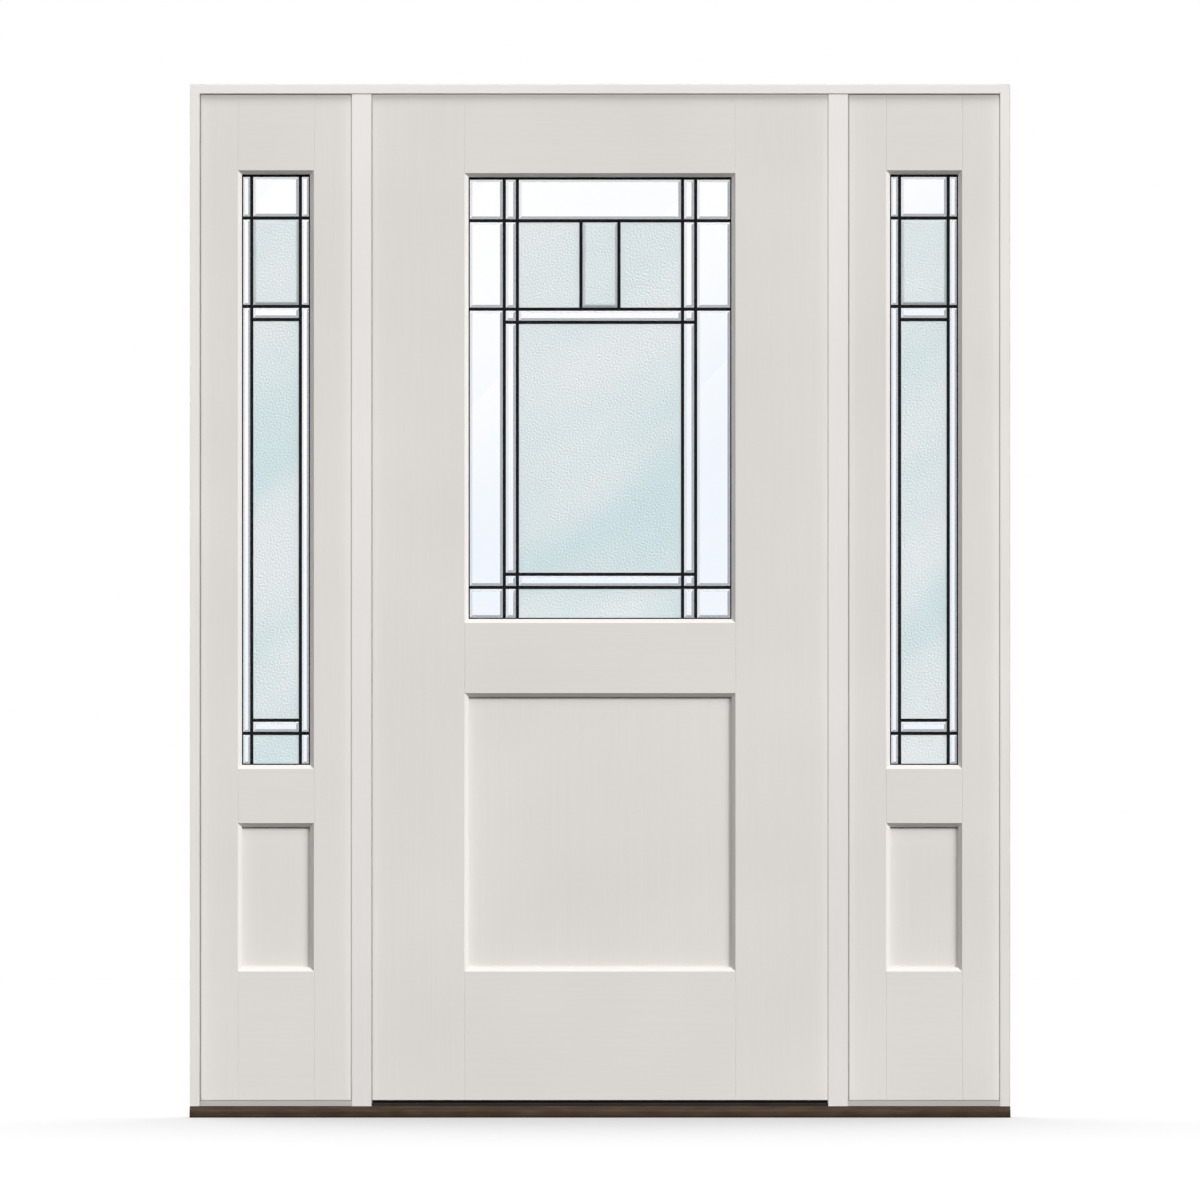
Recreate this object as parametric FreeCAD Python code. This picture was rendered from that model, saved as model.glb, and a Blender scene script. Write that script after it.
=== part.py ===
"""Front entry door with a fixed sidelight on each side, in one frame on a metal sill.

Millimetres. X runs to the right as seen from outside, Y runs inwards and Z up.
The origin is on the underside of the sill, at mid width and at mid depth of the frame.
The leaf and the sidelights are stiles and rails, grooved on their inner edges to hold a
flat panel below and a sealed glass unit above. The leaf swings inwards on butt hinges.
"""

import FreeCAD
import Part

import math
import os

from FreeCAD import Vector

# Faces seen from outside
DOORWAY_WIDTH = 913.0
SIDELIGHT_WIDTH = 303.5
MULLION_FACE = 40.0
JAMB_FACE = 20.0
HEAD_FACE = 20.0
FACE_HEIGHT = 2012.0
SILL_HEIGHT = 22.0
STRIP_HEIGHT = 12.0

# Depths
LEAF_THICKNESS = 44.5
REVEAL = 13.0
MULLION_SETBACK = 2.5
BASE_SETBACK = 1.0
SILL_PROJECTION = 30.0
SILL_NOSE_HEIGHT = 13.0
SILL_NOSE_RADIUS = 4.0
SILL_LANDING = 3.0
SILL_RIBS = 5
SILL_RIB_PITCH = 4.0
SILL_RIB_WIDTH = 1.6
SILL_RIB_DEPTH = 0.8
ARRIS = 2.0

# The leaf laps the stops and runs clear of them, and the sidelights are bedded on theirs
STOP_LAP = 6.0
LEAF_GAP = 6.5
SEAL_GAP = 4.5
THRESHOLD_GAP = 6.0
SIDELIGHT_LAP = 6.5
FIT_GAP = 0.5

# Stiles and rails
DOOR_STILE = 191.5
DOOR_TOP_RAIL = 164.0
DOOR_MIDDLE_RAIL = 140.0
DOOR_BOTTOM_RAIL = 257.0
DOOR_PANEL_HEIGHT = 557.0
SIDELIGHT_STILE = 82.15
SIDELIGHT_TOP_RAIL = 164.5
SIDELIGHT_MIDDLE_RAIL = 108.0
SIDELIGHT_BOTTOM_RAIL = 257.0
SIDELIGHT_PANEL_HEIGHT = 297.0
STICKING_WIDTH = 8.0
STICKING_DEPTH = 7.0
LIP = 5.0
GROOVE_DEPTH = 12.0
GROOVE_CLEARANCE = 0.25
EDGE_GAP = 2.0
TENON_GAP = 1.0
SCRIBE_WIDTH = 1.4
SCRIBE_DEPTH = 0.7

# Glass unit: two cover sheets, and between them bevelled and textured panes held in came
COVER_GLASS = 4.0
SEALANT_GAP = 0.15
CAME_WIDTH = 6.4
CAME_FLANGE = 1.2
CAME_CHAMFER = 0.6
CAME_HEART = 1.2
BORDER_CAME = 2.5
TOP_BORDER = 5.0
PANE_EDGE = 3.0
PANE_CLEARANCE = 0.1
PANE_RISE = 2.0
PANE_BEVEL = 4.8
TOP_ROW = 87.0
UPPER_ROW = 177.0
BAND = 26.2
BOTTOM_ROW = 63.2
DOOR_SIDE_COLUMN = 71.5
DOOR_CENTRE_PANE = 76.0
SIDELIGHT_SIDE_COLUMN = 19.4

# Butt hinges on the left edge of the leaf
HINGE_HEIGHT = 100.0
HINGE_PLATE = 3.0
HINGE_REACH = 32.0
HINGE_OFFSET = 8.5
HINGE_FROM_TOP = 180.0
HINGE_FROM_BOTTOM = 280.0
BARREL_RADIUS = 7.0
KNUCKLES = 3
KNUCKLE_GAP = 0.4
KNUCKLE_CLEARANCE = 0.6
PIN_RADIUS = 3.5
PIN_CLEARANCE = 0.05
PIN_HEAD_RADIUS = 5.5
PIN_HEAD_HEIGHT = 4.0

# Planes across the depth
FRAME_DEPTH = REVEAL + LEAF_THICKNESS
FRAME_FRONT = -FRAME_DEPTH / 2
LEAF_FRONT = FRAME_FRONT + REVEAL
LEAF_BACK = LEAF_FRONT + LEAF_THICKNESS
LEAF_MID = (LEAF_FRONT + LEAF_BACK) / 2
STOP_BACK = LEAF_FRONT - SEAL_GAP
MULLION_FRONT = FRAME_FRONT + MULLION_SETBACK
GROOVE_FRONT = LEAF_FRONT + STICKING_DEPTH + LIP
GROOVE_BACK = LEAF_BACK - STICKING_DEPTH - LIP

# Places across the width
DOOR_RABBET = STOP_LAP + LEAF_GAP
SIDELIGHT_RABBET = SIDELIGHT_LAP + FIT_GAP
DOORWAY_EDGE = DOORWAY_WIDTH / 2
MULLION_EDGE = DOORWAY_EDGE + MULLION_FACE
JAMB_EDGE = MULLION_EDGE + SIDELIGHT_WIDTH
UNIT_EDGE = JAMB_EDGE + JAMB_FACE

# Places up the height
FACE_BOTTOM = SILL_HEIGHT + STRIP_HEIGHT
FACE_TOP = FACE_BOTTOM + FACE_HEIGHT
HEAD_RABBET = FACE_TOP + DOOR_RABBET
UNIT_TOP = FACE_TOP + HEAD_FACE
LEAF_LEFT = -DOORWAY_EDGE - STOP_LAP
LEAF_BOTTOM = FACE_BOTTOM
LEAF_TOP = FACE_TOP + STOP_LAP

# Hinge axis, in the middle of the gap beside the leaf and clear of its inner face
HINGE_X = LEAF_LEFT - LEAF_GAP / 2
HINGE_Y = LEAF_BACK + HINGE_OFFSET


def box(x0, x1, y0, y1, z0, z1):
    """Box between two corners."""
    return Part.makeBox(x1 - x0, y1 - y0, z1 - z0, Vector(x0, y0, z0))


def outline(corners, place):
    """Closed wire through (u, v, radius) corners, with a tangent arc where there is a radius."""
    count = len(corners)
    points = [Vector(u, v, 0) for u, v, _ in corners]
    turns = []
    for i, (_, _, radius) in enumerate(corners):
        here = points[i]
        back = (points[i - 1] - here).normalize()
        ahead = (points[(i + 1) % count] - here).normalize()
        half = back.getAngle(ahead) / 2
        run = radius / math.tan(half)
        bulge = (back + ahead).normalize() * (radius / math.sin(half) - radius) if radius else Vector()
        turns.append((here + back * run, here + bulge, here + ahead * run, radius))
    edges = []
    for i, (start, middle, end, radius) in enumerate(turns):
        if radius:
            edges.append(Part.Arc(place(start), place(middle), place(end)).toShape())
        edges.append(Part.LineSegment(place(end), place(turns[(i + 1) % count][0])).toShape())
    return Part.Wire(edges)


def upright(corners, z0, z1):
    """(x, y, radius) outline carried from z0 up to z1."""
    wire = outline(corners, lambda p: Vector(p.x, p.y, z0))
    return Part.Face(wire).extrude(Vector(0, 0, z1 - z0))


def level(corners, x0, x1):
    """(y, z, radius) outline carried from x0 across to x1."""
    wire = outline(corners, lambda p: Vector(x0, p.x, p.y))
    return Part.Face(wire).extrude(Vector(x1 - x0, 0, 0))


def joined(shapes):
    """One solid from shapes that overlap or touch."""
    return shapes[0].multiFuse(shapes[1:]).removeSplitter()


# Frame

def mitre_waste(side, x, z, depth):
    """Prism cut away beyond the mitre of a top corner of the frame. (x, z) is its third corner."""
    points = [(JAMB_EDGE, FACE_TOP), (UNIT_EDGE, UNIT_TOP), (x, z)]
    corners = [Vector(side * across, FRAME_FRONT, up) for across, up in points]
    face = Part.Face(Part.makePolygon(corners + corners[:1]))
    return face.extrude(Vector(0, depth, 0))


def jamb(side, head):
    """Side jamb: a mitred stop in front of a thinner leg, to which the sidelight is fixed, under the head."""
    leg = JAMB_EDGE + SIDELIGHT_RABBET
    corners = [
        (UNIT_EDGE, FRAME_FRONT, ARRIS),
        (JAMB_EDGE, FRAME_FRONT, ARRIS),
        (JAMB_EDGE, LEAF_FRONT, 0),
        (leg, LEAF_FRONT, 0),
        (leg, LEAF_BACK, 0),
        (UNIT_EDGE, LEAF_BACK, 0),
    ]
    post = upright([(side * x, y, r) for x, y, r in corners], SILL_HEIGHT, UNIT_TOP)
    return post.cut([mitre_waste(side, JAMB_EDGE, UNIT_TOP, REVEAL), head])


def head_jamb():
    """Head rabbeted along its length, with a deeper stop over the sidelights, mitred to the side jambs."""
    corners = [
        (FRAME_FRONT, UNIT_TOP, ARRIS),
        (FRAME_FRONT, FACE_TOP, ARRIS),
        (STOP_BACK, FACE_TOP, 0),
        (STOP_BACK, HEAD_RABBET, 0),
        (LEAF_BACK, HEAD_RABBET, 0),
        (LEAF_BACK, UNIT_TOP, 0),
    ]
    bar = level(corners, -UNIT_EDGE, UNIT_EDGE)
    left_stop = box(-UNIT_EDGE, -MULLION_EDGE, STOP_BACK, LEAF_FRONT, FACE_TOP, HEAD_RABBET)
    right_stop = box(MULLION_EDGE, UNIT_EDGE, STOP_BACK, LEAF_FRONT, FACE_TOP, HEAD_RABBET)
    waste = [mitre_waste(side, UNIT_EDGE, FACE_TOP, FRAME_DEPTH) for side in (-1, 1)]
    return joined([bar, left_stop, right_stop]).cut(waste)


def mullion(side, head):
    """Post between doorway and sidelight: a stop for each in front of one web, trimmed to the head."""
    corners = [
        (DOORWAY_EDGE, MULLION_FRONT, ARRIS),
        (MULLION_EDGE, MULLION_FRONT, ARRIS),
        (MULLION_EDGE, LEAF_FRONT, 0),
        (MULLION_EDGE - SIDELIGHT_RABBET, LEAF_FRONT, 0),
        (MULLION_EDGE - SIDELIGHT_RABBET, LEAF_BACK, 0),
        (DOORWAY_EDGE + DOOR_RABBET, LEAF_BACK, 0),
        (DOORWAY_EDGE + DOOR_RABBET, STOP_BACK, 0),
        (DOORWAY_EDGE, STOP_BACK, 0),
    ]
    post = upright([(side * x, y, r) for x, y, r in corners], SILL_HEIGHT, HEAD_RABBET)
    return post.cut(head)


def sill():
    """Sill with a rounded nose and a ribbed fall to the outside, level under the frame."""
    nose = Vector(FRAME_FRONT - SILL_PROJECTION, SILL_NOSE_HEIGHT, 0)
    landing = Vector(FRAME_FRONT - SILL_LANDING, SILL_HEIGHT, 0)
    fall = (nose - landing).normalize()
    inward = Vector(-fall.y, fall.x, 0)
    corners = [
        (nose.x, 0, 0),
        (LEAF_BACK, 0, 0),
        (LEAF_BACK, SILL_HEIGHT, 0),
        (landing.x, landing.y, 0),
    ]
    for rib in range(SILL_RIBS):
        start = landing + fall * (rib + 0.5) * SILL_RIB_PITCH
        valley = start + fall * SILL_RIB_WIDTH / 2 + inward * SILL_RIB_DEPTH
        end = start + fall * SILL_RIB_WIDTH
        corners += [(point.x, point.y, 0) for point in (start, valley, end)]
    corners.append((nose.x, nose.y, SILL_NOSE_RADIUS))
    return level(corners, -UNIT_EDGE, UNIT_EDGE)


def threshold_cap():
    """Raised cap on the sill between the mullions, which the foot of the leaf passes over."""
    edge = DOORWAY_EDGE + DOOR_RABBET
    top = LEAF_BOTTOM - THRESHOLD_GAP
    corners = [
        (STOP_BACK, SILL_HEIGHT, 0),
        (STOP_BACK, top, ARRIS),
        (LEAF_BACK, top, ARRIS),
        (LEAF_BACK, SILL_HEIGHT, 0),
    ]
    return level(corners, -edge, edge)


def sidelight_base(x0, x1):
    """Packer that carries a sidelight on the sill, set back under its face."""
    return box(x0, x1, LEAF_FRONT + BASE_SETBACK, LEAF_BACK, SILL_HEIGHT, FACE_BOTTOM)


# Stiles, rails and panels

def plain_edge(at):
    """Square edge of a stile or rail, as (depth, place) from outside to inside."""
    return [(LEAF_FRONT, at), (LEAF_BACK, at)]


def moulded_edge(at, outward):
    """Edge bevelled on both faces and grooved between them, as (depth, place) from outside to inside."""
    tip = at + outward * STICKING_WIDTH
    floor = tip - outward * GROOVE_DEPTH
    return [
        (LEAF_FRONT, at),
        (LEAF_FRONT + STICKING_DEPTH, tip),
        (GROOVE_FRONT, tip),
        (GROOVE_FRONT, floor),
        (GROOVE_BACK, floor),
        (GROOVE_BACK, tip),
        (LEAF_BACK - STICKING_DEPTH, tip),
        (LEAF_BACK, at),
    ]


def stile(edge, face_edge, z0, z1):
    """Upright member with its moulded edge at face_edge."""
    inward = math.copysign(1, face_edge - edge)
    loop = plain_edge(edge) + moulded_edge(face_edge, inward)[::-1]
    return upright([(x, y, 0) for y, x in loop], z0, z1)


def rail(lower, upper, x0, x1):
    """Level member between a lower and an upper edge outline."""
    return level([(y, z, 0) for y, z in lower + upper[::-1]], x0, x1)


def scribe_lines(at, z0, z1):
    """Fine V cuts on both faces where a rail meets a stile."""
    half = SCRIBE_WIDTH / 2
    cuts = []
    for face, inward in ((LEAF_FRONT, 1), (LEAF_BACK, -1)):
        corners = [(at - half, face, 0), (at + half, face, 0), (at, face + inward * SCRIBE_DEPTH, 0)]
        cuts.append(upright(corners, z0, z1))
    return cuts


def joinery(x0, x1, z0, z1, stile_width, rails, panel_height):
    """Stiles, rails and panel of one leaf. rails are the bottom, middle and top heights.

    Returns the pieces by name and the (x0, x1, z0, z1) sight size of the glass.
    """
    bottom_rail, middle_rail, top_rail = rails
    left = x0 + stile_width
    right = x1 - stile_width
    panel_low = z0 + bottom_rail
    panel_high = panel_low + panel_height
    glass_low = panel_high + middle_rail
    glass_high = z1 - top_rail
    floor = GROOVE_DEPTH - STICKING_WIDTH

    pieces = {
        "left_stile": stile(x0, left, z0, z1),
        "right_stile": stile(x1, right, z0, z1),
    }
    stiles = [pieces["left_stile"], pieces["right_stile"]]
    blanks = {
        "bottom_rail": (plain_edge(z0), moulded_edge(panel_low, 1)),
        "middle_rail": (moulded_edge(panel_high, -1), moulded_edge(glass_low, 1)),
        "top_rail": (moulded_edge(glass_high, -1), plain_edge(z1)),
    }
    lines = []
    for low, high in ((z0, panel_low), (panel_high, glass_low), (glass_high, z1)):
        lines += scribe_lines(left, low, high) + scribe_lines(right, low, high)
    for name, (lower, upper) in blanks.items():
        blank = rail(lower, upper, left - floor + TENON_GAP, right + floor - TENON_GAP)
        pieces[name] = blank.cut(stiles).cut(lines)
    for name in ("left_stile", "right_stile"):
        pieces[name] = pieces[name].cut(lines)

    pieces["panel"] = box(
        left - floor + EDGE_GAP,
        right + floor - EDGE_GAP,
        GROOVE_FRONT + GROOVE_CLEARANCE,
        GROOVE_BACK - GROOVE_CLEARANCE,
        panel_low - floor,
        panel_high + floor - EDGE_GAP,
    )
    sight = (
        left + STICKING_WIDTH,
        right - STICKING_WIDTH,
        glass_low + STICKING_WIDTH,
        glass_high - STICKING_WIDTH,
    )
    return pieces, sight


# Glass units

def came_section():
    """Half-open H of a came bar as (across, depth): chamfered flanges on a thin heart."""
    wide = CAME_WIDTH / 2
    flat = wide - CAME_CHAMFER
    heart = CAME_HEART / 2
    channel = PANE_EDGE / 2 + PANE_CLEARANCE
    shoulder = channel + CAME_FLANGE - CAME_CHAMFER
    face = channel + CAME_FLANGE
    quarter = [(heart, channel), (wide, channel), (wide, shoulder), (flat, face)]
    right = [(u, -v) for u, v in quarter[::-1]] + quarter
    return right + [(-u, -v) for u, v in right]


def came_bar_upright(x, z0, z1):
    """Came bar standing at x."""
    return upright([(x + u, LEAF_MID + v, 0) for u, v in came_section()], z0, z1)


def came_bar_level(z, x0, x1):
    """Came bar lying at height z."""
    return level([(LEAF_MID + v, z + u, 0) for u, v in came_section()], x0, x1)


def unit_edges(sight):
    """Edges of the sealed unit: in the grooves at the sides and top, and on the groove floor below."""
    x0, x1, z0, z1 = sight
    hidden = GROOVE_DEPTH - EDGE_GAP
    return x0 - hidden, x1 + hidden, z0 - GROOVE_DEPTH, z1 + hidden


def cover_sheets(sight):
    """Outer and inner sheets of clear glass."""
    x0, x1, z0, z1 = unit_edges(sight)
    front = GROOVE_FRONT + GROOVE_CLEARANCE
    back = GROOVE_BACK - GROOVE_CLEARANCE
    outer = box(x0, x1, front, front + COVER_GLASS, z0, z1)
    inner = box(x0, x1, back - COVER_GLASS, back, z0, z1)
    return Part.makeCompound([outer, inner])


def spacer(sight):
    """Border that keeps the sheets apart, with a channel inside for the edges of the panes.

    A film of sealant, not modelled, lies between it and the sheets.
    """
    x0, x1, z0, z1 = sight
    front = GROOVE_FRONT + GROOVE_CLEARANCE + COVER_GLASS + SEALANT_GAP
    back = GROOVE_BACK - GROOVE_CLEARANCE - COVER_GLASS - SEALANT_GAP
    u0, u1, w0, w1 = unit_edges(sight)
    deep = (CAME_WIDTH - CAME_HEART) / 2
    channel = PANE_EDGE / 2 + PANE_CLEARANCE

    def opening(y0, y1, grow):
        """The border's inside, as deep as y0 to y1, made larger by grow all round."""
        side = BORDER_CAME - grow
        return box(x0 + side, x1 - side, y0, y1, z0 + side, z1 - TOP_BORDER + grow)

    ring = box(u0, u1, front, back, w0, w1).cut(opening(front, back, 0))
    return ring.cut(opening(LEAF_MID - channel, LEAF_MID + channel, deep))


def pane(x0, x1, z0, z1, bevelled):
    """Pane with its edge in the came and, if bevelled, a field raised behind sloping borders."""
    tongue = (CAME_WIDTH - CAME_HEART) / 2 - PANE_CLEARANCE
    face = LEAF_MID - PANE_EDGE / 2
    plate = box(x0 - tongue, x1 + tongue, face, face + PANE_EDGE, z0 - tongue, z1 + tongue)
    if not bevelled:
        return plate

    def rectangle(inset, y):
        corners = [
            Vector(x0 + inset, y, z0 + inset),
            Vector(x1 - inset, y, z0 + inset),
            Vector(x1 - inset, y, z1 - inset),
            Vector(x0 + inset, y, z1 - inset),
        ]
        return Part.makePolygon(corners + corners[:1])

    foot = PANE_CLEARANCE
    sections = [rectangle(foot, face), rectangle(foot + PANE_BEVEL, face - PANE_RISE)]
    field = Part.makeLoft(sections, True, True)
    return plate.fuse(field).removeSplitter()


def rows_of(low, high):
    """Heights of the glass's level lines, from its bottom edge to its top edge."""
    second = low + BOTTOM_ROW
    fifth = high - TOP_ROW - UPPER_ROW
    return [low, second, second + BAND, fifth - BAND, fifth, high - TOP_ROW, high]


def glazing(sight, columns, centre, centre_bars):
    """Cover sheets, came and panes of one unit.

    columns are the places of the upright lines, and centre is the pair that bounds the wide column.
    centre_bars are short uprights that divide its upper row.
    """
    low, high = sight[2], sight[3]
    rows = rows_of(low, high)
    last = len(columns) - 1
    left, right = columns[centre[0]], columns[centre[1]]

    bars = [spacer(sight)]
    bars += [came_bar_upright(x, low, high) for x in columns[1:-1]]
    bars += [came_bar_level(rows[i], columns[0], columns[-1]) for i in (1, 4, 5)]
    bars += [came_bar_level(rows[i], columns[1], columns[-2]) for i in (2, 3)]
    bars += [came_bar_upright(x, rows[4], rows[5]) for x in centre_bars]

    def between(lines, i, j, far_border=BORDER_CAME):
        """Sight size from line i to line j: half a bar in from each, or the border at the unit's edge."""
        half = CAME_WIDTH / 2
        start = BORDER_CAME if i == 0 else half
        end = far_border if j == len(lines) - 1 else half
        return lines[i] + start, lines[j] - end

    def row_between(i, j):
        """Heights of the row from line i to line j, under the deeper top border."""
        return between(rows, i, j, TOP_BORDER)

    clear = []
    textured = []
    for column in ((0, 1), (last - 1, last)):
        for row in ((0, 1), (1, 4), (4, 5), (5, 6)):
            clear.append(pane(*between(columns, *column), *row_between(*row), True))
    for column in ((i, i + 1) for i in range(1, last - 1) if (i, i + 1) != centre):
        for row in range(len(rows) - 1):
            clear.append(pane(*between(columns, *column), *row_between(row, row + 1), True))
    for row in (1, 3, 5):
        clear.append(pane(*between(columns, *centre), *row_between(row, row + 1), True))
    for row in (0, 2):
        textured.append(pane(*between(columns, *centre), *row_between(row, row + 1), False))
    uprights = [left] + centre_bars + [right]
    half = CAME_WIDTH / 2
    for i in range(len(uprights) - 1):
        bevelled = i == (len(uprights) - 1) // 2
        span = (uprights[i] + half, uprights[i + 1] - half)
        textured.append(pane(*span, *row_between(4, 5), bevelled))

    return {
        "cover_glass": cover_sheets(sight),
        "came": joined(bars),
        "clear_panes": Part.makeCompound(clear),
        "textured_panes": Part.makeCompound(textured),
    }


def door_glazing(sight):
    """Door glass: a wide middle column between narrow bands, with wide borders outside them."""
    x0, x1 = sight[0], sight[1]
    inner = DOOR_SIDE_COLUMN + BAND
    columns = [x0, x0 + DOOR_SIDE_COLUMN, x0 + inner, x1 - inner, x1 - DOOR_SIDE_COLUMN, x1]
    middle = (x0 + x1) / 2
    centre_bars = [middle - DOOR_CENTRE_PANE / 2, middle + DOOR_CENTRE_PANE / 2]
    return glazing(sight, columns, (2, 3), centre_bars)


def sidelight_glazing(sight):
    """Sidelight glass: one wide column between narrow borders."""
    x0, x1 = sight[0], sight[1]
    columns = [x0, x0 + SIDELIGHT_SIDE_COLUMN, x1 - SIDELIGHT_SIDE_COLUMN, x1]
    return glazing(sight, columns, (1, 2), [])


# Hinges

def hinge_feet():
    """Heights of the lower ends of the three hinges."""
    low = LEAF_BOTTOM + HINGE_FROM_BOTTOM
    high = LEAF_TOP - HINGE_FROM_TOP - HINGE_HEIGHT
    return [low, (low + high) / 2, high]


def hinge_plate(side, foot):
    """Plate let into the leaf's edge (side 1) or the mullion (side -1), as far as the hinge axis."""
    face = HINGE_X + side * LEAF_GAP / 2
    deep = face + side * HINGE_PLATE
    return box(
        min(face, deep), max(face, deep), LEAF_BACK - HINGE_REACH, HINGE_Y, foot, foot + HINGE_HEIGHT
    )


def knuckle(index, foot, radius, grow=0.0):
    """One length of the barrel, counted from below."""
    pitch = HINGE_HEIGHT / KNUCKLES
    start = foot + index * pitch + KNUCKLE_GAP / 2 - grow
    length = pitch - KNUCKLE_GAP + 2 * grow
    return Part.makeCylinder(radius, length, Vector(HINGE_X, HINGE_Y, start))


def hinge_leaf(side, foot):
    """Hinge plate with its own knuckles, notched for those of the other plate and bored for the pin."""
    own = range(0, KNUCKLES, 2) if side < 0 else range(1, KNUCKLES, 2)
    others = [i for i in range(KNUCKLES) if i not in own]
    notches = [knuckle(i, foot, BARREL_RADIUS + KNUCKLE_CLEARANCE, KNUCKLE_GAP / 2) for i in others]
    plate = hinge_plate(side, foot).cut(notches)
    leaf = joined([plate] + [knuckle(i, foot, BARREL_RADIUS) for i in own])
    bore = Part.makeCylinder(PIN_RADIUS + PIN_CLEARANCE, HINGE_HEIGHT, Vector(HINGE_X, HINGE_Y, foot))
    return leaf.cut(bore)


def hinge_pin(foot):
    """Pin through the barrel, hung by its head on the top knuckle."""
    seat = foot + HINGE_HEIGHT - KNUCKLE_GAP / 2
    shank = Part.makeCylinder(PIN_RADIUS, seat - foot, Vector(HINGE_X, HINGE_Y, foot))
    head = Part.makeCylinder(PIN_HEAD_RADIUS, PIN_HEAD_HEIGHT, Vector(HINGE_X, HINGE_Y, seat))
    return joined([shank, head])


# Assembly

def frame_pieces():
    """Sill, threshold, jambs, head and mullions."""
    head = head_jamb()
    mortises = [hinge_plate(-1, foot) for foot in hinge_feet()]
    return {
        "sill": sill(),
        "threshold_cap": threshold_cap(),
        "left_jamb": jamb(-1, head),
        "right_jamb": jamb(1, head),
        "head_jamb": head,
        "left_mullion": mullion(-1, head).cut(mortises),
        "right_mullion": mullion(1, head),
    }


def door_pieces():
    """The leaf, with its left stile let in for the hinges."""
    rails = (DOOR_BOTTOM_RAIL, DOOR_MIDDLE_RAIL, DOOR_TOP_RAIL)
    pieces, sight = joinery(
        LEAF_LEFT, -LEAF_LEFT, LEAF_BOTTOM, LEAF_TOP, DOOR_STILE, rails, DOOR_PANEL_HEIGHT
    )
    mortises = [hinge_plate(1, foot) for foot in hinge_feet()]
    pieces["hinge_stile"] = pieces.pop("left_stile").cut(mortises)
    pieces["lock_stile"] = pieces.pop("right_stile")
    pieces.update(door_glazing(sight))
    return {"door_" + name: piece for name, piece in pieces.items()}


def sidelight_pieces(name, side):
    """One fixed sidelight on its base, side -1 at the left and 1 at the right."""
    x0, x1 = sorted((side * (MULLION_EDGE - SIDELIGHT_LAP), side * (JAMB_EDGE + SIDELIGHT_LAP)))
    rails = (SIDELIGHT_BOTTOM_RAIL, SIDELIGHT_MIDDLE_RAIL, SIDELIGHT_TOP_RAIL)
    pieces, sight = joinery(
        x0, x1, FACE_BOTTOM, HEAD_RABBET - FIT_GAP, SIDELIGHT_STILE, rails, SIDELIGHT_PANEL_HEIGHT
    )
    pieces.update(sidelight_glazing(sight))
    pieces["base"] = sidelight_base(x0, x1)
    return {name + "_" + piece_name: piece for piece_name, piece in pieces.items()}


def hinge_pieces():
    """Three hinges: plates on the mullion, plates on the leaf, and pins."""
    feet = hinge_feet()
    return {
        "hinge_frame_plates": Part.makeCompound([hinge_leaf(-1, foot) for foot in feet]),
        "hinge_door_plates": Part.makeCompound([hinge_leaf(1, foot) for foot in feet]),
        "hinge_pins": Part.makeCompound([hinge_pin(foot) for foot in feet]),
    }


def main():
    """Builds every piece and writes one STEP file each."""
    pieces = {
        **frame_pieces(),
        **door_pieces(),
        **sidelight_pieces("left_sidelight", -1),
        **sidelight_pieces("right_sidelight", 1),
        **hinge_pieces(),
    }
    os.makedirs("parts", exist_ok=True)
    for name, piece in pieces.items():
        piece.exportStep(os.path.join("parts", name + ".step"))
        print(f"{name}: {len(piece.Solids)} solids, {piece.Volume / 1e3:.1f} cm3, valid {piece.isValid()}")


main()
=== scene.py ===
# %% [markdown]
# # A front door between two sidelights
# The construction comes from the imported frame: every stile, rail, sheet of glass and hinge is there at its
# real size. This lesson gives each surface its finish, and adds what is too fine for the construction:
# ground glass facets, pebbled glass, solder dabs, seals and screws.

import math

import bpy
import numpy as np
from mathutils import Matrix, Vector


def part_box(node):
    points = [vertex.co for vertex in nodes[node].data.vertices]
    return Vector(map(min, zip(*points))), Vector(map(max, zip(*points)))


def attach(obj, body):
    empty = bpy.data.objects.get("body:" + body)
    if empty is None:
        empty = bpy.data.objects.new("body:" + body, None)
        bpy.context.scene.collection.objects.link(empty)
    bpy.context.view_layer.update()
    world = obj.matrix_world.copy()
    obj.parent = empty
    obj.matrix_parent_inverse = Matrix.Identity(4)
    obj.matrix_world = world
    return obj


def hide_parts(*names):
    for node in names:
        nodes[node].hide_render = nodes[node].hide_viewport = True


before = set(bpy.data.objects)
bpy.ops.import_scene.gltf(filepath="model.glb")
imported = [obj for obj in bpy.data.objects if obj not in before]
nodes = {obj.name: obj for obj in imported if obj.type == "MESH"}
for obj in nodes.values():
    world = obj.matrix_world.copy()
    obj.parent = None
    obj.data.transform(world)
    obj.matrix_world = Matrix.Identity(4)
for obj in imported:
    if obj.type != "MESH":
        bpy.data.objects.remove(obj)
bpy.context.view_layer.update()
MM = 0.001
UNITS = ("door", "left_sidelight", "right_sidelight")
BODY_OF = {"door": "door", "left_sidelight": "frame", "right_sidelight": "frame"}
POSTS = ("left_jamb", "right_jamb", "left_mullion", "right_mullion")

# %% [markdown]
# ## Small tools
# Paint makers give colours as sRGB, and Blender's shaders count light, so one function turns a hex value
# into linear light. Another adds one shader node with its settings and links, which keeps every material
# below readable from its first texture to its last shader. A third starts an empty material.

# %% Colour and node tools
# Sockets of a Mix node that mixes colours: the share of the second, the two colours and the result.
SHARE = 0
FIRST = 6
SECOND = 7
RESULT = 2


def linear(hex_colour):
    """sRGB hex to linear RGBA: the power 2.4 curve, with its straight foot near black."""
    srgb = np.array([int(hex_colour[i:i + 2], 16) for i in (1, 3, 5)]) / 255
    light = np.where(srgb <= 0.04045, srgb / 12.92, ((srgb + 0.055) / 1.055) ** 2.4)
    return (*light.tolist(), 1.0)


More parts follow.
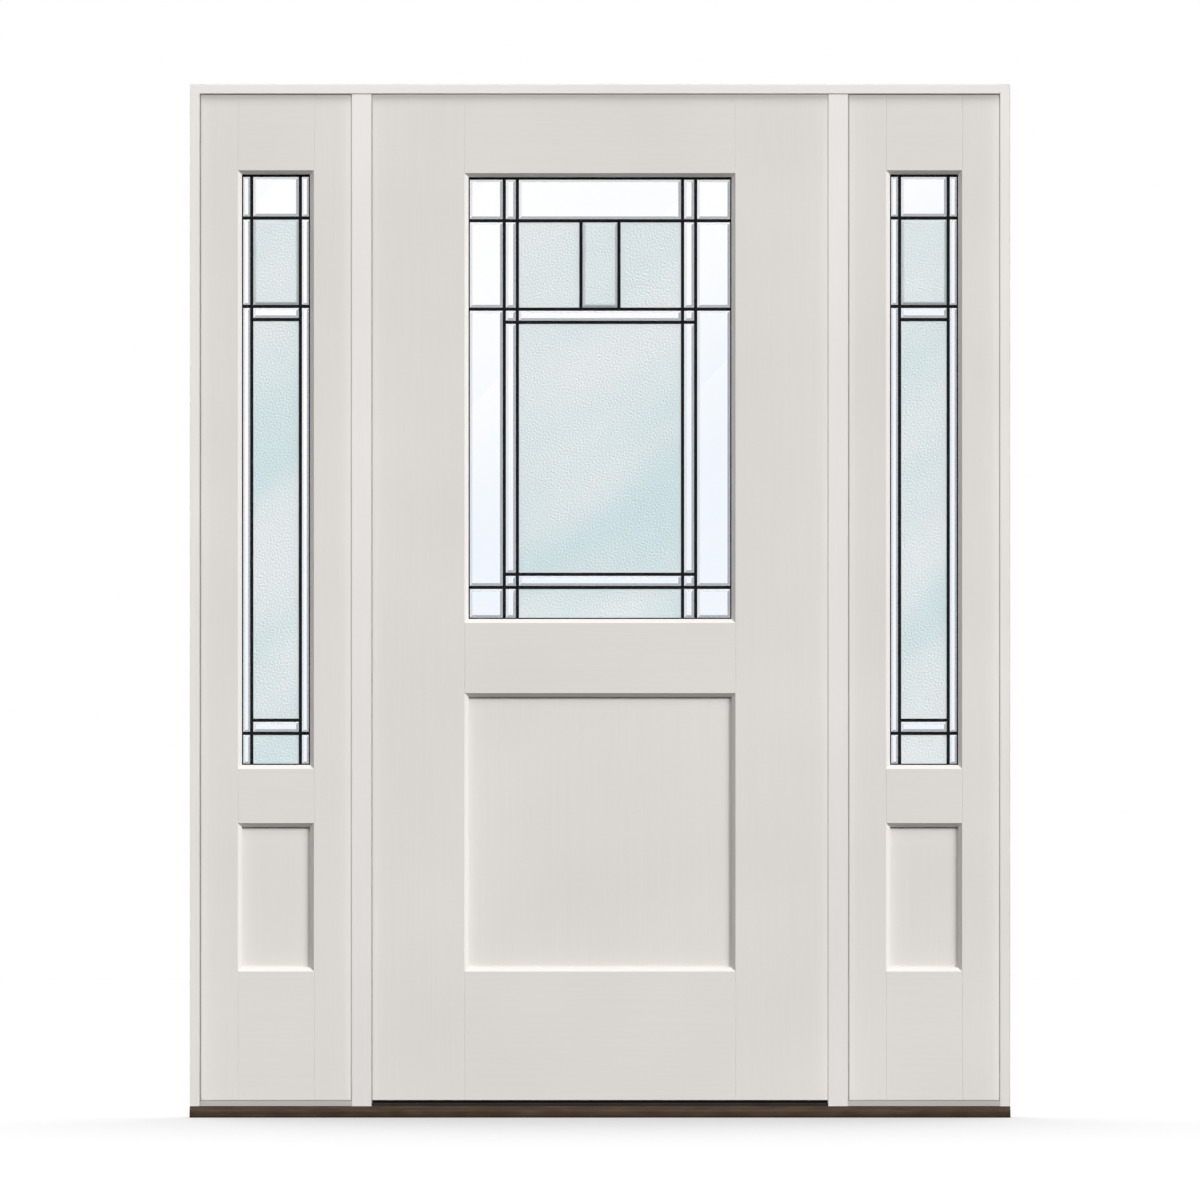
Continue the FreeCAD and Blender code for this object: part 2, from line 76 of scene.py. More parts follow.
def add_node(tree, kind, inputs=None, **settings):
    """Adds one node. An input that is a socket is linked, and any other is set on the node's own socket."""
    node = tree.nodes.new(kind)
    for name, value in settings.items():
        setattr(node, name, value)
    for name, value in (inputs or {}).items():
        if isinstance(value, bpy.types.NodeSocket):
            tree.links.new(value, node.inputs[name])
        else:
            node.inputs[name].default_value = value
    return node


def new_material(name):
    """An empty material, its tree, and its object coordinates in metres."""
    material = bpy.data.materials.new(name)
    material.use_nodes = True
    tree = material.node_tree
    tree.nodes.clear()
    place = add_node(tree, "ShaderNodeTexCoord").outputs["Object"]
    return material, tree, place


print(f"mid grey #808080 is {linear('#808080')[0]:.3f} in linear light")

# %% [markdown]
# ## Camera
# The picture is a straight front elevation with no visible perspective, so the camera stands far away on a
# long lens, level with the middle of the picture. One pixel of the 1200 pixel frame covers 2 mm.

# %% Camera
PICTURE_PIXELS = 1200
PIXEL = 2.0 * MM
GROUND_ROW = 1117
LENS = 500.0
SENSOR = 36.0
FAR_CLIP = 200.0

picture_width = PICTURE_PIXELS * PIXEL
eye_height = (GROUND_ROW - PICTURE_PIXELS / 2) * PIXEL
face_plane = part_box("door_lock_stile")[0][1]
camera_data = bpy.data.cameras.new("elevation_camera")
camera_data.lens = LENS
camera_data.sensor_width = SENSOR
camera_data.clip_end = FAR_CLIP
camera = bpy.data.objects.new("elevation_camera", camera_data)
camera.location = (0.0, face_plane - picture_width * LENS / SENSOR, eye_height)
camera.rotation_euler = (math.radians(90), 0.0, 0.0)
bpy.context.scene.collection.objects.link(camera)
bpy.context.scene.camera = camera
print(f"camera {-camera.location.y:.1f} m in front, {eye_height:.3f} m up")

# %% [markdown]
# ## Surroundings
# The picture's ground is white. A white world would flood the pieces with light and take the shade out of
# their bevels, so the world is white only to rays that the eye follows: straight, by a mirror or through
# glass. Rays that carry light to a surface find a dim fill there. The floor does the same, and has part of
# its own light, so that the shadow in front of the sill stays soft.

# %% White world
FILL = 0.06

scene = bpy.context.scene
scene.view_settings.view_transform = "Standard"
scene.cycles.transparent_max_bounces = 32


def seen_rays(tree):
    """1 for a ray that the eye follows, straight, by a mirror or through glass, and otherwise 0."""
    rays = add_node(tree, "ShaderNodeLightPath").outputs
    seen = add_node(
        tree, "ShaderNodeMath", {0: rays["Is Camera Ray"], 1: rays["Is Glossy Ray"]}, operation="MAXIMUM"
    )
    return add_node(
        tree, "ShaderNodeMath", {0: seen.outputs[0], 1: rays["Is Transmission Ray"]}, operation="MAXIMUM"
    ).outputs[0]


def white_world():
    """White to the eye and a dim fill on the pieces."""
    world = bpy.data.worlds.new("studio")
    world.use_nodes = True
    tree = world.node_tree
    tree.nodes.clear()
    fill = add_node(tree, "ShaderNodeBackground", {"Color": linear("#fbfbff"), "Strength": FILL})
    white = add_node(tree, "ShaderNodeBackground", {"Color": linear("#ffffff"), "Strength": 1.0})
    shown = add_node(
        tree, "ShaderNodeMixShader", {0: seen_rays(tree), 1: fill.outputs[0], 2: white.outputs[0]}
    )
    add_node(tree, "ShaderNodeOutputWorld", {"Surface": shown.outputs[0]})
    return world


scene.world = white_world()
print(f"world: white to the eye, {FILL} as a fill")

# %% Pale floor
FLOOR_SIZE = 24.0
FLOOR_DROP = 0.2 * MM
FLOOR_GLOW = 0.6


def studio_floor():
    """A square just under the sill, far brighter to the eye than to the pieces above it."""
    material, tree, _ = new_material("pale studio floor")
    glow = add_node(tree, "ShaderNodeEmission", {"Color": linear("#ffffff"), "Strength": FLOOR_GLOW})
    matt = add_node(tree, "ShaderNodeBsdfDiffuse", {"Color": linear("#727272")})
    dim = add_node(tree, "ShaderNodeBsdfDiffuse", {"Color": linear("#242424")})
    both = add_node(tree, "ShaderNodeAddShader", {0: glow.outputs[0], 1: matt.outputs[0]})
    shown = add_node(
        tree, "ShaderNodeMixShader", {0: seen_rays(tree), 1: dim.outputs[0], 2: both.outputs[0]}
    )
    add_node(tree, "ShaderNodeOutputMaterial", {"Surface": shown.outputs[0]})
    half = FLOOR_SIZE / 2
    corners = [(x, y, -FLOOR_DROP) for x, y in ((-half, -half), (half, -half), (half, half), (-half, half))]
    mesh = bpy.data.meshes.new("studio_floor")
    mesh.from_pydata(corners, [], [(0, 1, 2, 3)])
    mesh.materials.append(material)
    square = bpy.data.objects.new("studio_floor", mesh)
    scene.collection.objects.link(square)
    return square


floor = studio_floor()
print(f"floor {FLOOR_SIZE:.0f} m wide")

# %% [markdown]
# ## Lamps
# The bevels round each opening are bright on the left and below, grey on the right and dark above, as a key
# light from the upper right leaves them. The frame disagrees: soft shadows lie below its head and to the
# right of its posts. So the key is linked to all but the frame, which does not block it either, a soft lamp
# high in front lights every piece, and the frame has a broad lamp of its own. Two lamps behind light the
# inside face and the outer sides, and one on the floor alone lays the shadow in front of the sill.

# %% Six lamps
# Each lamp: the way to it, its light on a surface that faces it, and its width in degrees.
KEY = ((1.15, -1.0, 0.7), 2.88, 30.0)
SOFT = ((-0.12, -1.0, 1.12), 1.7, 42.0)
FRAME = ((-0.1, -1.0, 0.1), 3.05, 120.0)
BACK_LEFT = ((-1.0, 0.8, 0.2), 2.6, 50.0)
BACK_RIGHT = ((1.0, 0.8, 0.2), 2.0, 50.0)
GROUND = ((0.0, 0.36, 0.93), 8.0, 50.0)


def link_members(collection, members, state):
    """Adds members to a collection for light linking.

    With INCLUDE they alone take part, and with EXCLUDE all but they do.
    """
    for member in members:
        collection.objects.link(member)
    for entry in collection.collection_objects:
        entry.light_linking.link_state = state


def linked(name, members, state):
    """A new collection for light linking with its first members."""
    collection = bpy.data.collections.new(name)
    link_members(collection, members, state)
    return collection


def sun(name, lamp_values, receivers, blockers=None):
    """A far lamp. Through glass it would show as a glaring disc, so it is not seen there."""
    towards, strength, spread = lamp_values
    lamp = bpy.data.lights.new(name, "SUN")
    lamp.energy = strength
    lamp.angle = math.radians(spread)
    carrier = bpy.data.objects.new(name, lamp)
    carrier.rotation_euler = (-Vector(towards)).to_track_quat("-Z", "Y").to_euler()
    carrier.visible_transmission = False
    scene.collection.objects.link(carrier)
    carrier.light_linking.receiver_collection = receivers
    carrier.light_linking.blocker_collection = blockers


frame_members = [nodes[name] for name in POSTS] + [nodes["head_jamb"]]
not_floor = linked("not_floor", [floor], "EXCLUDE")
floor_only = linked("floor_only", [floor], "INCLUDE")
key_receivers = linked("key_receivers", frame_members + [floor], "EXCLUDE")
key_blockers = linked("key_blockers", frame_members, "EXCLUDE")
frame_receivers = linked("frame_receivers", frame_members, "INCLUDE")
sun("key_lamp", KEY, key_receivers, key_blockers)
sun("soft_lamp", SOFT, not_floor)
sun("frame_lamp", FRAME, frame_receivers)
sun("left_back_lamp", BACK_LEFT, not_floor)
sun("right_back_lamp", BACK_RIGHT, not_floor)
sun("ground_lamp", GROUND, floor_only)
print(f"six lamps, one of them on {len(frame_members)} frame members alone")

# %% [markdown]
# ## Painted wood
# Stiles, rails and frame are smooth wood under two coats of satin paint. The eye gets an off-white that is
# nearly even, with a trace of the grain that the paint has not quite filled, a slow drift of tone along
# each board and the fine stipple of a sprayed coat. Grain runs the length of a board, so uprights and level
# pieces need one material each. Noise stretched along the board does this without unwrapping anything.

# %% Patterns with a real size
def mottle(tree, place, size_mm, detail, lean=0.0):
    """Noise with patches of a real size in millimetres along x, y and z, leaning by degrees about y."""
    stretch = tuple(1 / (size * MM) for size in size_mm)
    turned = add_node(
        tree, "ShaderNodeMapping", {"Vector": place, "Rotation": (0.0, math.radians(lean), 0.0)}
    )
    cells = add_node(tree, "ShaderNodeMapping", {"Vector": turned.outputs[0], "Scale": stretch})
    return add_node(
        tree, "ShaderNodeTexNoise", {"Vector": cells.outputs[0], "Scale": 1.0, "Detail": detail}
    ).outputs[0]


def finish_nodes(names, material):
    """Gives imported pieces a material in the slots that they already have."""
    for name in names:
        for material_slot in nodes[name].material_slots:
            material_slot.material = material


print("patterns are sized in millimetres on object coordinates")

# %% Satin paint
GRAIN_ACROSS = 5.0
GRAIN_ALONG = 260.0
GRAIN_SHARE = 0.45
DRIFT = 320.0
# The stipple of a sprayed coat is about half a millimetre, drawn coarser so that it shows.
STIPPLE = 1.4


def satin_paint(name, light_hex, shade_hex, along):
    """Satin acrylic paint on planed wood, with its grain along axis 0, 1 or 2."""
    material, tree, place = new_material(name)
    grain_size = [GRAIN_ACROSS] * 3
    grain_size[along] = GRAIN_ALONG
    grain = mottle(tree, place, grain_size, 4.0)
    drift = mottle(tree, place, [DRIFT] * 3, 1.0)
    stipple = mottle(tree, place, [STIPPLE] * 3, 2.0)
    tone = add_node(
        tree, "ShaderNodeMath", {0: grain, 1: GRAIN_SHARE, 2: drift}, operation="MULTIPLY_ADD"
    )
    ramp = add_node(
        tree, "ShaderNodeMapRange", {"Value": tone.outputs[0], "From Min": 0.45, "From Max": 1.0}
    )
    colour = add_node(
        tree, "ShaderNodeMix",
        {SHARE: ramp.outputs[0], FIRST: linear(shade_hex), SECOND: linear(light_hex)}, data_type="RGBA",
    )
    gloss = add_node(
        tree, "ShaderNodeMapRange", {"Value": stipple, "To Min": 0.56, "To Max": 0.7}
    )
    coat = add_node(
        tree, "ShaderNodeBump", {"Height": stipple, "Strength": 0.12, "Distance": 0.25 * MM}
    )
    relief = add_node(
        tree, "ShaderNodeBump",
        {"Height": grain, "Strength": 0.1, "Distance": 0.3 * MM, "Normal": coat.outputs[0]},
    )
    shader = add_node(
        tree, "ShaderNodeBsdfPrincipled",
        {"Base Color": colour.outputs[RESULT], "Roughness": gloss.outputs[0],
         "Normal": relief.outputs[0], "IOR": 1.45, "Specular IOR Level": 0.14},
    )
    add_node(tree, "ShaderNodeOutputMaterial", {"Surface": shader.outputs[0]})
    return material


leaf_upright = satin_paint("satin paint on upright boards", "#e1ddd9", "#dbd7d3", 2)
leaf_level = satin_paint("satin paint on level boards", "#e1ddd9", "#dbd7d3", 0)
frame_upright = satin_paint("satin paint on frame posts", "#e7e3e0", "#e1ddda", 2)
frame_level = satin_paint("satin paint on frame head", "#e7e3e0", "#e1ddda", 0)
# The packers' grey is painted shade, added to the real shade under the sidelights' bottom edges.
packer_shade_paint = satin_paint("grey paint and painted shade on sidelight packers", "#b9b6b3", "#b0adaa", 0)
print("satin paint mixed for leaf, frame and packers")

# %% Paint the boards
uprights = [name for name in nodes if name.endswith(("_stile", "_panel"))]
levels = [name for name in nodes if name.endswith("_rail")]
finish_nodes(uprights, leaf_upright)
finish_nodes(levels, leaf_level)
finish_nodes(POSTS, frame_upright)
finish_nodes(["head_jamb"], frame_level)
finish_nodes(["left_sidelight_base", "right_sidelight_base"], packer_shade_paint)
print(f"painted {len(uprights)} stiles and panels, {len(levels)} rails, {len(POSTS) + 1} frame members")

# %% [markdown]
# ## Sill and threshold
# The sill is extruded aluminium with a dark bronze anodised coat: brown-black, with a soft sheen drawn out
# along the extrusion. The threshold cap under the leaf is black. Both are metals, so the sheen comes from
# fine noise stretched far along the length, which is what die lines look like. The lowest millimetres of
# the sill are darker: painted shade at its foot.

# %% Dark metals
DIE_LINE = (400.0, 1.2, 1.2)
METAL_PATCH = (60.0, 20.0, 20.0)
# Painted shade at the sill's foot: strongest below the first height, gone above the second.
FOOT_SHADE_LOW = 1.5 * MM
FOOT_SHADE_HIGH = 4.5 * MM


def drawn_metal(name, light_hex, dark_hex, roughness, metallic):
    """Extruded metal with die lines along its length and painted shade at the foot."""
    material, tree, place = new_material(name)
    lines = mottle(tree, place, DIE_LINE, 3.0)
    patches = mottle(tree, place, METAL_PATCH, 2.0)
    tone = add_node(tree, "ShaderNodeMath", {0: lines, 1: patches}, operation="MULTIPLY")
    ramp = add_node(
        tree, "ShaderNodeMapRange", {"Value": tone.outputs[0], "From Min": 0.12, "From Max": 0.4}
    )
    unshaded = add_node(
        tree, "ShaderNodeMix",
        {SHARE: ramp.outputs[0], FIRST: linear(dark_hex), SECOND: linear(light_hex)}, data_type="RGBA",
    )
    height = add_node(tree, "ShaderNodeSeparateXYZ", {"Vector": place}).outputs["Z"]
    foot_shade = add_node(
        tree, "ShaderNodeMapRange",
        {"Value": height, "From Min": FOOT_SHADE_LOW, "From Max": FOOT_SHADE_HIGH, "To Min": 0.7, "To Max": 0.0},
    )
    # Painted shade: the lowest millimetres turn to a near-black brown.
    colour = add_node(
        tree, "ShaderNodeMix",
        {SHARE: foot_shade.outputs[0], FIRST: unshaded.outputs[RESULT], SECOND: linear("#120d0a")}, data_type="RGBA",
    )
    gloss = add_node(
        tree, "ShaderNodeMapRange",
        {"Value": lines, "To Min": roughness - 0.06, "To Max": roughness + 0.08},
    )
    relief = add_node(tree, "ShaderNodeBump", {"Height": lines, "Strength": 0.2, "Distance": 0.1 * MM})
    shader = add_node(
        tree, "ShaderNodeBsdfPrincipled",
        {"Base Color": colour.outputs[RESULT], "Roughness": gloss.outputs[0],
         "Normal": relief.outputs[0], "Metallic": metallic, "Specular IOR Level": 0.08},
    )
    add_node(tree, "ShaderNodeOutputMaterial", {"Surface": shader.outputs[0]})
    return material


bronze = drawn_metal("bronze anodised aluminium", "#4d3f33", "#372b21", 0.72, 0.1)
black_cap = drawn_metal("black anodised aluminium", "#35302c", "#272320", 0.72, 0.1)
finish_nodes(["sill"], bronze)
finish_nodes(["threshold_cap"], black_cap)
print("sill and threshold finished")

# %% [markdown]
# ## Came and solder
# The glass pieces are held in came, an H-shaped bar with a black patina, and a dab of solder joins the bars
# wherever they meet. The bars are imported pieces. The dabs are low domes, worked out as circles of points on
# a parabola, set on every place where the corners of the panes come together. Those places are read from
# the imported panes, so the dabs follow when a size of the glass is changed.

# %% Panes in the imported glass
PLANE_REACH = 0.01 * MM


def vertex_places(node):
    """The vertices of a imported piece, one row each."""
    mesh = nodes[node].data
    places = np.empty(len(mesh.vertices) * 3)
    mesh.vertices.foreach_get("co", places)
    return places.reshape(-1, 3)


def flat_rectangles(node, side):
    """Rectangles (x0, z0, x1, z1) of a node's flat faces in its front (0) or back (1) plane.

    Such a face is two right triangles, and each has the whole rectangle as its box.
    """
    mesh = nodes[node].data
    mesh.calc_loop_triangles()
    corners = np.empty(len(mesh.loop_triangles) * 3, dtype=np.int32)
    mesh.loop_triangles.foreach_get("vertices", corners)
    triangles = vertex_places(node)[corners].reshape(-1, 3, 3)
    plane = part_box(node)[side][1]
    in_plane = np.all(np.abs(triangles[:, :, 1] - plane) < PLANE_REACH, axis=1)
    flat = triangles[in_plane][:, :, (0, 2)]
    spans = np.hstack([flat.min(axis=1), flat.max(axis=1)])
    return np.unique(spans.round(5), axis=0)


clear_spans = {unit: flat_rectangles(unit + "_clear_panes", 1) for unit in UNITS}
pebbled_spans = {unit: flat_rectangles(unit + "_textured_panes", 1) for unit in UNITS}
pane_counts = {unit: (len(clear_spans[unit]), len(pebbled_spans[unit])) for unit in UNITS}
print("clear and pebbled panes:", pane_counts)

# %% Black patina
FLECK = 3.0


def patina(name, hex_colour, fleck_hex, roughness):
    """Black patina on soft metal: matt, with faint grey flecks where it is thin."""
    material, tree, place = new_material(name)
    flecks = mottle(tree, place, [FLECK] * 3, 3.0)
    ramp = add_node(tree, "ShaderNodeMapRange", {"Value": flecks, "From Min": 0.55, "From Max": 0.8})
    colour = add_node(
        tree, "ShaderNodeMix",
        {SHARE: ramp.outputs[0], FIRST: linear(hex_colour), SECOND: linear(fleck_hex)}, data_type="RGBA",
    )
    relief = add_node(tree, "ShaderNodeBump", {"Height": flecks, "Strength": 0.15, "Distance": 0.2 * MM})
    shader = add_node(
        tree, "ShaderNodeBsdfPrincipled",
        {"Base Color": colour.outputs[RESULT], "Normal": relief.outputs[0], "Roughness": roughness,
         "Specular IOR Level": 0.08},
    )
    add_node(tree, "ShaderNodeOutputMaterial", {"Surface": shader.outputs[0]})
    return material


black_came = patina("black patina on came", "#08080a", "#161618", 0.5)
black_solder = patina("black patina on solder", "#101012", "#242426", 0.4)
finish_nodes([unit + "_came" for unit in UNITS], black_came)
print(f"came of {len(UNITS)} units blackened")

# %% Meshes from arrays
def build_piece(name, points, face_groups, material, body, smooth_groups=()):
    """A mesh at the origin from an array of points and groups of equal-sided faces, riding on a body.

    The groups whose numbers are in smooth_groups are shaded smooth.
    """
    mesh = bpy.data.meshes.new(name)
    points = np.asarray(points, dtype=np.float32).reshape(-1, 3)
    groups = [np.atleast_2d(group) for group in face_groups]
    corners = np.concatenate([group.ravel() for group in groups])
    sides = np.concatenate([np.full(len(group), group.shape[1]) for group in groups])
    smooth = np.concatenate([np.full(len(group), i in smooth_groups) for i, group in enumerate(groups)])
    mesh.vertices.add(len(points))
    mesh.vertices.foreach_set("co", points.ravel())
    mesh.loops.add(len(corners))
    mesh.loops.foreach_set("vertex_index", corners.astype(np.int32))
    mesh.polygons.add(len(sides))
    mesh.polygons.foreach_set("loop_start", (np.cumsum(sides) - sides).astype(np.int32))
    mesh.polygons.foreach_set("use_smooth", smooth)
    mesh.update(calc_edges=True)
    mesh.materials.append(material)
    piece = bpy.data.objects.new(name, mesh)
    bpy.context.scene.collection.objects.link(piece)
    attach(piece, body)
    return piece


def cap_rings(radius, rings, spokes, flat):
    """Reach, across and up on rings: across = radius * reach * cos(turn), up = radius * reach * sin(turn).

    The reach falls from 1 at the rim to the share of the radius that stays flat in the middle.
    """
    reach = np.linspace(1.0, flat, rings)[:, None]
    turn = np.linspace(0.0, 2 * np.pi, spokes, endpoint=False)
    return reach, radius * reach * np.cos(turn), radius * reach * np.sin(turn)


def round_caps(name, cap, places, material, body, smooth_groups=()):
    """Copies of one round cap, its points by ring and spoke with the rim first, at several places.

    Face groups: quads between rings, the flat in the middle and the foot.
    """
    rings, spokes = cap.shape[:2]
    ring, spoke = np.meshgrid(np.arange(rings - 1), np.arange(spokes), indexing="ij")
    ahead = (spoke + 1) % spokes
    quads = np.stack(
        [ring * spokes + spoke, ring * spokes + ahead,
         (ring + 1) * spokes + ahead, (ring + 1) * spokes + spoke], axis=-1
    ).reshape(-1, 4)
    top = (rings - 1) * spokes + np.arange(spokes)
    foot = np.arange(spokes)[::-1]
    starts = np.arange(len(places))[:, None] * rings * spokes
    groups = [(starts[:, :, None] + quads).reshape(-1, 4), starts + top, starts + foot]
    points = places[:, None] + cap.reshape(-1, 3)
    return build_piece(name, points, groups, material, body, smooth_groups)


print("mesh tools ready")

# %% Solder dabs
CAME_HALF_DEPTH = 2.8 * MM
DAB_RADIUS = 3.3 * MM
DAB_HEIGHT = 0.5 * MM
DAB_FLAT = 0.12
DAB_RINGS = 4
DAB_SPOKES = 14
JOINT_REACH = 4.0 * MM


def joint_places(spans):
    """Places where pane corners come together: each corner moved to the mean of the corners near it."""
    corners = np.concatenate([spans[:, (0, 1)], spans[:, (2, 1)], spans[:, (2, 3)], spans[:, (0, 3)]])
    apart = np.linalg.norm(corners[:, None] - corners[None], axis=2)
    near = (apart < JOINT_REACH).astype(float)
    means = near @ corners / near.sum(axis=1, keepdims=True)
    return np.unique(means.round(4), axis=0)


def solder_dabs(unit, material):
    """Domes on the front of the came: height falls with the square of the distance from the middle."""
    joints = joint_places(np.concatenate([clear_spans[unit], pebbled_spans[unit]]))
    low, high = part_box(unit + "_came")
    face = (low[1] + high[1]) / 2 - CAME_HALF_DEPTH
    reach, across, up = cap_rings(DAB_RADIUS, DAB_RINGS, DAB_SPOKES, DAB_FLAT)
    out = np.broadcast_to(DAB_HEIGHT * (1 - reach ** 2), across.shape)
    dome = np.stack([across, -out, up], axis=-1)
    places = np.stack([joints[:, 0], np.full(len(joints), face), joints[:, 1]], axis=-1)
    round_caps(unit + "_solder", dome, places, material, BODY_OF[unit], smooth_groups=(0, 1))
    return len(joints)


print("solder dabs:", {unit: solder_dabs(unit, black_solder) for unit in UNITS})

# %% [markdown]
# ## Cover sheets
# Two flat sheets shut the leaded glass in. Seen straight on they only dim and mirror a little. Full glass
# would bend every ray twice for nothing, so the lightest way is a see-through shader with a mirror that
# grows towards the edge of sight.

# %% Cover sheets
SHEET_MIRROR = 0.03
SHEET_WAVE = (140.0, 140.0, 90.0)


def float_glass(name):
    """Flat clear glass: see-through, with a faint mirror that strengthens at a slant."""
    material, tree, place = new_material(name)
    fresnel = add_node(tree, "ShaderNodeFresnel", {"IOR": 1.5})
    share = add_node(
        tree, "ShaderNodeMath", {0: fresnel.outputs[0], 1: SHEET_MIRROR}, operation="MULTIPLY"
    )
    clear = add_node(tree, "ShaderNodeBsdfTransparent", {"Color": linear("#ffffff")})
    waves = mottle(tree, place, SHEET_WAVE, 1.0)
    ripple = add_node(tree, "ShaderNodeBump", {"Height": waves, "Strength": 0.05, "Distance": 0.5 * MM})
    mirror = add_node(
        tree, "ShaderNodeBsdfGlossy",
        {"Color": linear("#ffffff"), "Roughness": 0.02, "Normal": ripple.outputs[0]},
    )
    sheet = add_node(
        tree, "ShaderNodeMixShader", {0: share.outputs[0], 1: clear.outputs[0], 2: mirror.outputs[0]}
    )
    add_node(tree, "ShaderNodeOutputMaterial", {"Surface": sheet.outputs[0]})
    return material


finish_nodes([unit + "_cover_glass" for unit in UNITS], float_glass("float glass sheet"))
print(f"cover sheets of {len(UNITS)} units finished")

# %% [markdown]
# ## Bevelled panes
# The clear panes are thick glass with ground and polished borders. Each border is a small prism that throws
# its own part of the room at the eye, which is why the right and lower borders look grey and the left and
# upper ones pale. Here that grey is painted shade: a number stored on each face says which border it
# belongs to, and the glass takes its painted shade from it. Lamps pass straight through, because bent
# light would need far too many samples.

# %% Bevelled glass
# Painted sky reflection on the clear glass: faint blue low down, and in slanting bands.
SKY_REFLECTION_TOP = 1.75
SKY_REFLECTION_FOOT = 1.1
SKY_REFLECTION_BAND = 0.42
REFLECTION_BAND_SHARE = 0.3


def bevelled_glass(name):
    """Polished clear glass, painted shade on its borders, painted sky reflection low down and in bands."""
    material, tree, place = new_material(name)
    parts = add_node(tree, "ShaderNodeSeparateXYZ", {"Vector": place}).outputs
    slant = add_node(
        tree, "ShaderNodeMath", {0: parts["X"], 1: -0.5, 2: parts["Z"]}, operation="MULTIPLY_ADD"
    )
    sky = add_node(
        tree, "ShaderNodeMapRange",
        {"Value": slant.outputs[0], "From Min": SKY_REFLECTION_TOP, "From Max": SKY_REFLECTION_FOOT},
        interpolation_type="SMOOTHSTEP",
    )
    across = add_node(tree, "ShaderNodeMath", {0: parts["X"], 1: parts["Z"]}, operation="SUBTRACT")
    count = add_node(tree, "ShaderNodeMath", {0: across.outputs[0], 1: SKY_REFLECTION_BAND}, operation="DIVIDE")
    reflection_band = add_node(tree, "ShaderNodeMath", {0: count.outputs[0]}, operation="FRACT")
    blue = add_node(
        tree, "ShaderNodeMath", {0: reflection_band.outputs[0], 1: REFLECTION_BAND_SHARE, 2: sky.outputs[0]},
        operation="MULTIPLY_ADD",
    )
    body = add_node(
        tree, "ShaderNodeMix",
        {SHARE: blue.outputs[0], FIRST: linear("#ffffff"), SECOND: linear("#f0f6fd")}, data_type="RGBA",
    )
    # Painted shade on the borders: grey on the right and below, paler on the left and above.
    border = add_node(tree, "ShaderNodeAttribute", attribute_name="painted_border_shade")
    tint = add_node(
        tree, "ShaderNodeMix",
        {SHARE: border.outputs["Fac"], FIRST: body.outputs[RESULT], SECOND: linear("#acb0b6")},
        data_type="RGBA",
    )
    glass = add_node(
        tree, "ShaderNodeBsdfPrincipled",
        {"Base Color": tint.outputs[RESULT], "Transmission Weight": 1.0, "Roughness": 0.02, "IOR": 1.5},
    )
    lamp_way = add_node(tree, "ShaderNodeBsdfTransparent", {"Color": linear("#f2f5f7")})
    rays = add_node(tree, "ShaderNodeLightPath").outputs
    pane = add_node(
        tree, "ShaderNodeMixShader",
        {0: rays["Is Shadow Ray"], 1: glass.outputs[0], 2: lamp_way.outputs[0]},
    )
    add_node(tree, "ShaderNodeOutputMaterial", {"Surface": pane.outputs[0]})
    return material


clear_glass = bevelled_glass("bevelled plate glass")
print(f"bevelled glass, with bands of sky {SKY_REFLECTION_BAND} m apart")

# %% Bevelled panes
PANE_EDGE = 3.0 * MM
CHANNEL = 2.6 * MM
BEVEL = 5.4 * MM
BEVEL_SHARE = 0.21
# Painted shade of each ground border, standing for the room that it refracts: bottom, right, top and left.
PAINTED_BORDER_SHADES = np.array([0.95, 1.0, 0.45, 0.3])


def store_painted_border_shades(piece, painted_shades):
    """One number a face, which the glass reads as the painted shade of a ground border."""
    layer = piece.data.attributes.new("painted_border_shade", "FLOAT", "FACE")
    layer.data.foreach_set("value", painted_shades.astype(np.float32))


def bevelled_panes(unit, material):
    """All clear panes of one unit: a profile carried round each rectangle.

    The profile runs from the flat of the back, round the edge that sits in the came, up the ground border
    and over its arris to the flat of the front. Each row is an inset, the share of the border's width to
    add to it, and a depth. A point is the rectangle's corner moved in by the sum. The border is narrower
    on a narrow pane. Its painted shade is on the slope, on the arris and on the ring behind them.
    """
    node = unit + "_clear_panes"
    spans = clear_spans[unit]
    low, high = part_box(node)
    front, back = low[1], high[1]
    face = back - PANE_EDGE
    rise = face - front
    profile = np.array([
        (CHANNEL, 1.0, back), (0.0, 0.0, back), (0.0, 0.0, face), (CHANNEL, 0.0, face),
        (CHANNEL, 0.87, front + 0.13 * rise), (CHANNEL, 1.04, front + 0.02 * rise), (CHANNEL, 1.13, front),
    ])
    # Profile rows that carry the border's painted shade.
    shaded_rows = np.array([1, 0, 0, 1, 1, 0])
    right = np.array([0, 1, 1, 0])
    upper = np.array([0, 0, 1, 1])
    width = np.minimum(BEVEL, BEVEL_SHARE * (spans[:, 2:] - spans[:, :2]).min(axis=1))
    inset = (profile[None, :, 0] + profile[None, :, 1] * width[:, None])[:, :, None]
    x = np.where(right, spans[:, None, None, 2] - inset, spans[:, None, None, 0] + inset)
    z = np.where(upper, spans[:, None, None, 3] - inset, spans[:, None, None, 1] + inset)
    y = np.broadcast_to(profile[None, :, None, 2], x.shape)
    points = np.stack([x, y, z], axis=-1)

    index = np.arange(x.size).reshape(x.shape)
    ahead = np.roll(index, -1, axis=2)
    walls = np.stack([index[:, :-1], ahead[:, :-1], ahead[:, 1:], index[:, 1:]], axis=-1).reshape(-1, 4)
    piece = build_piece(
        unit + "_bevelled_glass", points, [walls, index[:, -1], index[:, 0, ::-1]], material,
        BODY_OF[unit],
    )
    wall_shades = np.tile((shaded_rows[:, None] * PAINTED_BORDER_SHADES).ravel(), len(spans))
    store_painted_border_shades(piece, np.concatenate([wall_shades, np.zeros(2 * len(spans))]))
    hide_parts(node)
    return len(spans)


print("bevelled panes:", {unit: bevelled_panes(unit, clear_glass) for unit in UNITS})

